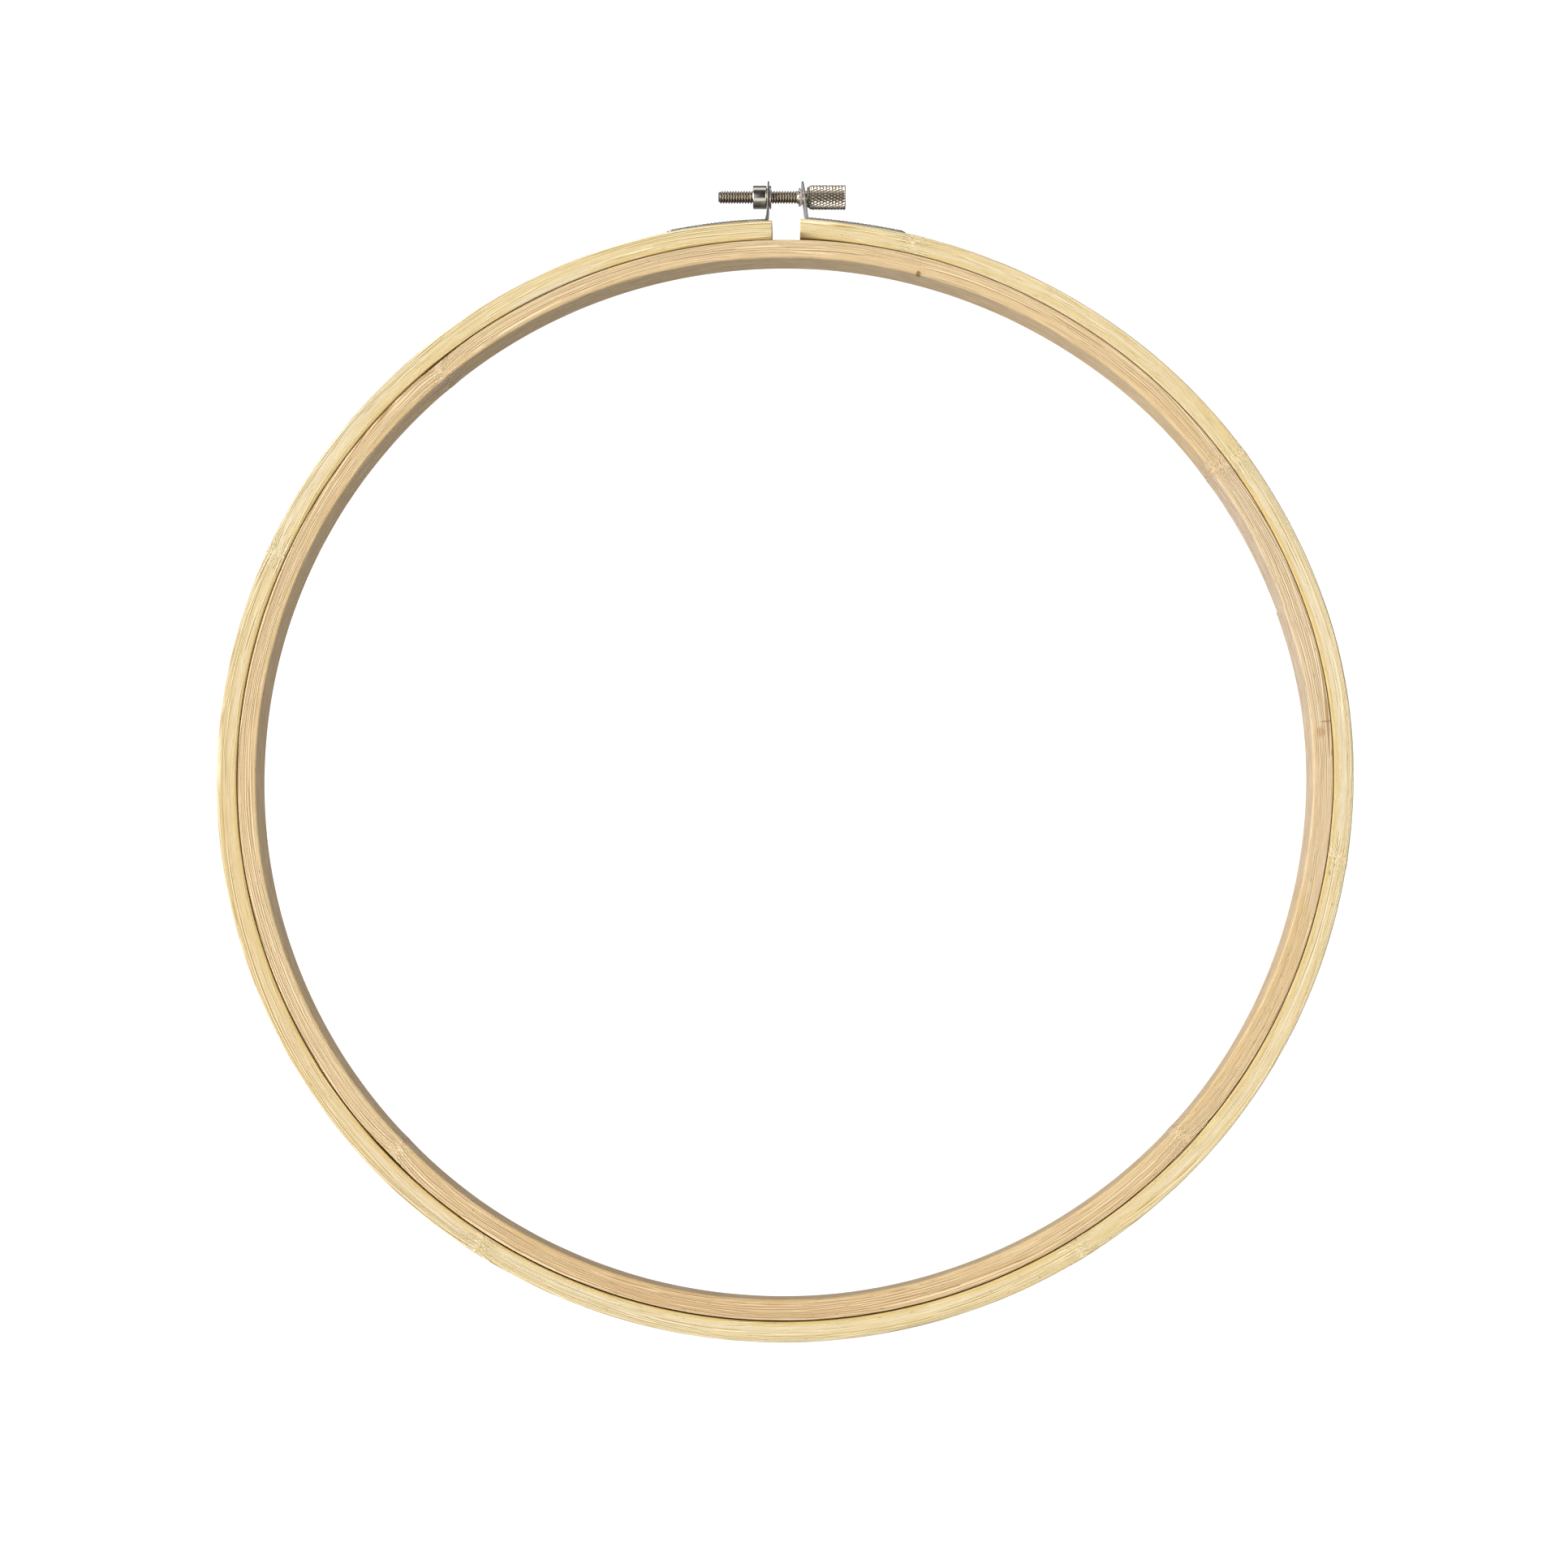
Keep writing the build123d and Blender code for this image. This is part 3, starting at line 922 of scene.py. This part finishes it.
def clamp_screw(material):
    """One turned piece: a helical thread, a plain neck, and a head with a diamond knurl."""
    thread_x = np.arange(screw_low.x, THREAD_END, THREAD_PITCH / 12)
    neck_x = [THREAD_END, THREAD_END + 0.1, NECK_END]
    face_x = [HEAD_START, HEAD_START + 0.01]
    knurl_x = np.arange(HEAD_START + 0.1, HEAD_END - 0.02, KNURL_PITCH / 20)
    stations = np.concatenate([thread_x, neck_x, face_x, knurl_x, [HEAD_END]])
    x, turn = np.meshgrid(stations, around(SCREW_SIDES), indexing="ij")
    plain_face = np.clip((x - HEAD_START - 0.25) / 0.5, 0, 1)
    plain_end = np.clip((HEAD_END - 0.1 - x) / 0.3, 0, 1)
    head = head_outline(x) - KNURL_DEPTH * knurl(x, turn) * plain_face * plain_end
    neck_or_head = np.where(x < HEAD_START + 0.005, THREAD_RADIUS, head)
    radius = np.where(x < THREAD_END, thread(x, turn), neck_or_head)
    piece = turned_piece("clamp_screw_plated", x, radius, sharp=32)
    on_thread = np.clip((THREAD_RADIUS - thread(x, turn)) / THREAD_DEPTH, 0, 1)
    in_knurl = np.clip(knurl(x, turn) * 1.7 - 0.6, 0, 1) * (x > HEAD_START + 0.2)
    # groove darkens the thread's roots and the knurl's grooves: painted shade, with some dirt.
    set_attribute(piece, "groove", np.where(x < THREAD_END, 0.8 * on_thread, in_knurl).ravel())
    return finish_piece(piece, "screw", material, "screw_steel", "clamp_screw")


def retaining_collar(material):
    """A thin disc against the ear, and a short cone towards the thread."""
    large, small = (collar_high.y - collar_low.y) / 2, 2.05
    bore = THREAD_RADIUS + 0.02
    disc_end = collar_low.x + 0.45
    profile = [
        (collar_low.x, bore),
        (collar_low.x, large),
        (disc_end, large),
        (collar_high.x, small),
        (collar_high.x, bore),
    ]
    piece = ring_of("retaining_collar_plated", smooth_profile(profile, 0.1), sides=96)
    return finish_piece(piece, "screw", material, "screw_steel", "retaining_collar")


# ---------------------------------------------------------------- brackets

# The straps and ears, as seen: both are the same sheet, pressed thinner in the ears
STRAP_THICKNESS = 0.52
EAR_THICKNESS = 0.42
STRAP_WIDTH = 9.0
STRAP_REACH = 34.5
STRAP_END_RADIUS = 1.6
EMBOSS_PITCH = 1.125
EMBOSS_HEIGHT = 0.18
EMBOSS_SINK = 0.06
NARROWEST_EAR = 0.35
RIM_SWELL = 0.06
EAR_X = 5.25
EAR_BEND = 0.7


def ring_face(angle):
    """Radius of the outer ring's outer face near the clamp."""
    return OUTER_RING_OUTSIDE + bow(angle) + lift(angle) + leaning(angle)


def bracket_line(side, lean, curl):
    """The bracket's middle line, from the strap's end round the ring to the ear's tip, with its normals.
    It also gives the distance from the ear's bend for each point, negative on the strap."""
    slope = math.tan(math.radians(lean))
    strap_top = OUTER_RING_OUTSIDE - 0.3
    base_x = EAR_X + slope * (SCREW_Y - strap_top) + curl
    far = math.asin(STRAP_REACH / OUTER_RING_OUTSIDE)
    near = math.asin((base_x + EAR_BEND) / OUTER_RING_OUTSIDE)
    strap_angle = np.linspace(far, near, 150)
    radius = ring_face(math.pi / 2 - side * strap_angle) + STRAP_THICKNESS / 2
    strap = np.stack([np.sin(strap_angle), np.cos(strap_angle)], axis=-1) * radius[:, None]
    ear_y = np.linspace(strap[-1][1] + EAR_BEND, SCREW_Y + STRAP_WIDTH / 2, 60)
    straight_from = SCREW_Y - 3
    below = np.clip((straight_from - ear_y) / (straight_from - strap_top), 0, 1)
    ear = np.stack([EAR_X + slope * (SCREW_Y - ear_y) + curl * below**2, ear_y], axis=-1)
    turn = np.linspace(0, 1, 9)[1:-1, None]
    corner = np.array([ear[0][0] + 0.05, strap[-1][1]])
    arc = (1 - turn) ** 2 * strap[-1] + 2 * turn * (1 - turn) * corner + turn**2 * ear[0]
    line = np.concatenate([strap, arc, ear])
    step = np.gradient(line, axis=0)
    step /= np.linalg.norm(step, axis=1, keepdims=True)
    normal = np.stack([step[:, 1], -step[:, 0]], axis=-1)
    travel = np.concatenate([[0], np.cumsum(np.linalg.norm(np.diff(line, axis=0), axis=1))])
    travel -= travel[len(strap)]
    line[:, 0] *= side
    normal[:, 0] *= side
    return line, normal, travel


def bracket_width(line, travel):
    """Half the bracket's width along it: blunt at the strap's end, and round at the ear's tip."""
    end = np.clip((travel - travel[0]) / STRAP_END_RADIUS, 0, 1)
    width = STRAP_WIDTH / 2 * (0.6 + 0.4 * np.sqrt(1 - (1 - end) ** 2))
    past_axis = np.clip((line[:, 1] - SCREW_Y) / (STRAP_WIDTH / 2), 0, 1)
    width = np.where(travel > 0, STRAP_WIDTH / 2 * np.sqrt(1 - past_axis**2), width)
    return np.maximum(width, NARROWEST_EAR)


def embossing(travel, z):
    """The raised studs, from 0 between them to 1 on their flat tops, in crossing diagonal rows."""
    first = np.abs(((travel[:, None] + z) / EMBOSS_PITCH) % 1 - 0.5) * 2
    second = np.abs(((travel[:, None] - z) / EMBOSS_PITCH) % 1 - 0.5) * 2
    return np.clip(1.25 - np.maximum(first, second) * 1.6, 0, 1)


def bracket_shade_and_satin(stud, on_strap, on_ear):
    """The groove attribute round the bracket: darker between the studs, painted shade on the rims, a painted
    shadow on the back sheet's edges beside the wood, light studs on the rims, and satin ears."""
    low = (1 - stud) * on_strap * 0.8
    # Painted shade: the rims are dark, except the studs on the strap's rims, which are light satin.
    edge = 0.75 - 1.3 * stud[:, :1] * on_strap
    back = 0 * low - on_ear
    low[:, [0, -1]] = edge
    # Painted shadow: the back sheet's edges, beside the wood, are darkest.
    back[:, [0, -1]] = 0.9
    return np.concatenate([low, edge, back, edge], axis=1)


def bracket(side, lean, curl, twist, material, name, body, node):
    """An embossed strap bent up into a plain ear. Rows run along the bracket, and columns go round it."""
    line, normal, travel = bracket_line(side, lean, curl)
    z = bracket_width(line, travel)[:, None] * np.linspace(-1, 1, 61)[None]
    half = np.where(travel < 0, STRAP_THICKNESS, EAR_THICKNESS)[:, None, None] / 2
    on_strap = (np.clip(-travel / 0.8, 0, 1) * np.clip((travel - travel[0]) / 2.5, 0, 1))[:, None]
    on_ear = np.clip(travel / 3, 0, 1)[:, None]
    stud = embossing(travel, z)
    relief = (EMBOSS_HEIGHT * stud - EMBOSS_SINK) * on_strap
    outward = normal[:, None, :]
    face = line[:, None, :] + outward * (half + relief[..., None])
    back = line[:, None, :] - outward * half + 0 * face
    swing = math.tan(math.radians(twist)) * (z - STRAP_WIDTH / 2) * on_ear
    for sheet in (face, back):
        sheet[..., 0] += swing
    face = np.concatenate([face, z[..., None]], axis=-1)
    back = np.concatenate([back, z[..., None]], axis=-1)
    rim = 0.5 * (face[:, -1:] + back[:, -1:]) + np.array([0, 0, RIM_SWELL])
    far_rim = 0.5 * (face[:, :1] + back[:, :1]) - np.array([0, 0, RIM_SWELL])
    points = np.concatenate([face, rim, back[:, ::-1], far_rim], axis=1)
    piece = grid_object(name, points, caps=True)
    set_attribute(piece, "groove", bracket_shade_and_satin(stud, on_strap, on_ear).ravel())
    sharpen(piece, 40)
    return finish_piece(piece, body, material, "bracket_steel", node)


def tack(name, angle, material, body, node):
    """A low domed head on the strap, with a bevelled rim."""
    head, rim, height = 1.7, 0.2, 0.8
    edge = [(head - 0.15, 0.0), (head, 0.12), (head, rim)]
    dome = [(head * math.cos(t), rim + (height - rim) * math.sin(t)) for t in np.linspace(0.15, 1.5, 9)]
    reach, rise = np.array(edge + dome).T[..., None]
    turn = around(40)
    radial = ring_face(np.array(angle)) + STRAP_THICKNESS + rise + 0 * turn
    aside = reach * np.cos(turn)
    up = reach * np.sin(turn)
    cosine, sine = math.cos(angle), math.sin(angle)
    points = np.stack([radial * cosine - aside * sine, radial * sine + aside * cosine, up], axis=-1)
    piece = grid_object(name, points, caps=True)
    sharpen(piece, 50)
    return finish_piece(piece, body, material, "tack_steel", node)


# ---------------------------------------------------------------- assembly

make_camera()
make_light()
make_surround()
make_floor()

# The two strips' colours. wall and far_wall multiply the others, on the inside and the outside wall; the
# outer strip's wall and the inner strip's far_wall are painted shade in the gap between the rings. glow is
# the pale tone of painted highlights along the fibres, and of the light flecks at the nodes.
inner_tones = {
    "pale": (0.555, 0.415, 0.235),
    "straw": (0.50, 0.35, 0.175),
    "line": (0.31, 0.185, 0.08),
    # Pale tone for painted highlights
    "glow": (0.74, 0.60, 0.38),
    "fleck": (0.17, 0.085, 0.035),
    "lap": (0.52, 0.415, 0.285),
    "edge": (0.55, 0.40, 0.20),
    "knot": (0.38, 0.20, 0.07),
    "wall": (1.08, 1.15, 1.4),
    # Painted shade in the gap between the rings
    "far_wall": (0.5, 0.42, 0.35),
}
outer_tones = {
    "pale": (0.585, 0.50, 0.34),
    "straw": (0.56, 0.435, 0.22),
    "line": (0.38, 0.25, 0.075),
    # Pale tone for painted highlights
    "glow": (0.74, 0.66, 0.44),
    "fleck": (0.22, 0.125, 0.045),
    "lap": (0.5, 0.4, 0.28),
    "edge": (0.55, 0.395, 0.14),
    "knot": (0.45, 0.28, 0.10),
    # Painted shade in the gap between the rings
    "wall": (0.55, 0.45, 0.38),
    "far_wall": (0.95, 0.93, 0.9),
}
inner_bamboo = bamboo("inner_bamboo", inner_tones, skin_start=0.6, edge_reach=1.3, wall_reach=0.3)
outer_bamboo = bamboo("outer_bamboo", outer_tones, skin_start=2.3, edge_reach=1.7, wall_reach=0.12)
strip_steel = plated_steel("strip_nickel", (0.60, 0.60, 0.53), 0.26, 0.5, satin=(0.66, 0.64, 0.70))
nut_steel = plated_steel("nut_nickel", (0.70, 0.64, 0.57), 0.12, 0.4, bump=0.004)
screw_steel = plated_steel("screw_nickel", (0.64, 0.57, 0.47), 0.19, 0.6, grime_and_shade=(0.07, 0.05, 0.03))

inner_ring(inner_bamboo)
outer_ring(outer_bamboo)
barrel_nut(nut_steel)
clamp_screw(screw_steel)
retaining_collar(screw_steel)
bracket(-1, 0.5, 0.5, 0, strip_steel, "nut_bracket_embossed", "outer_ring_nut_side", "nut_bracket")
bracket(1, 7, 0, 3, strip_steel, "screw_bracket_embossed", "outer_ring_screw_side", "screw_bracket")
for side, name in ((-1, "nut"), (1, "screw")):
    for place, degrees in (("near", 5.2), ("far", 10.4)):
        angle = math.radians(90 - side * degrees)
        node = f"{name}_bracket_{place}_tack"
        tack(f"{node}_head", angle, strip_steel, f"outer_ring_{name}_side", node)
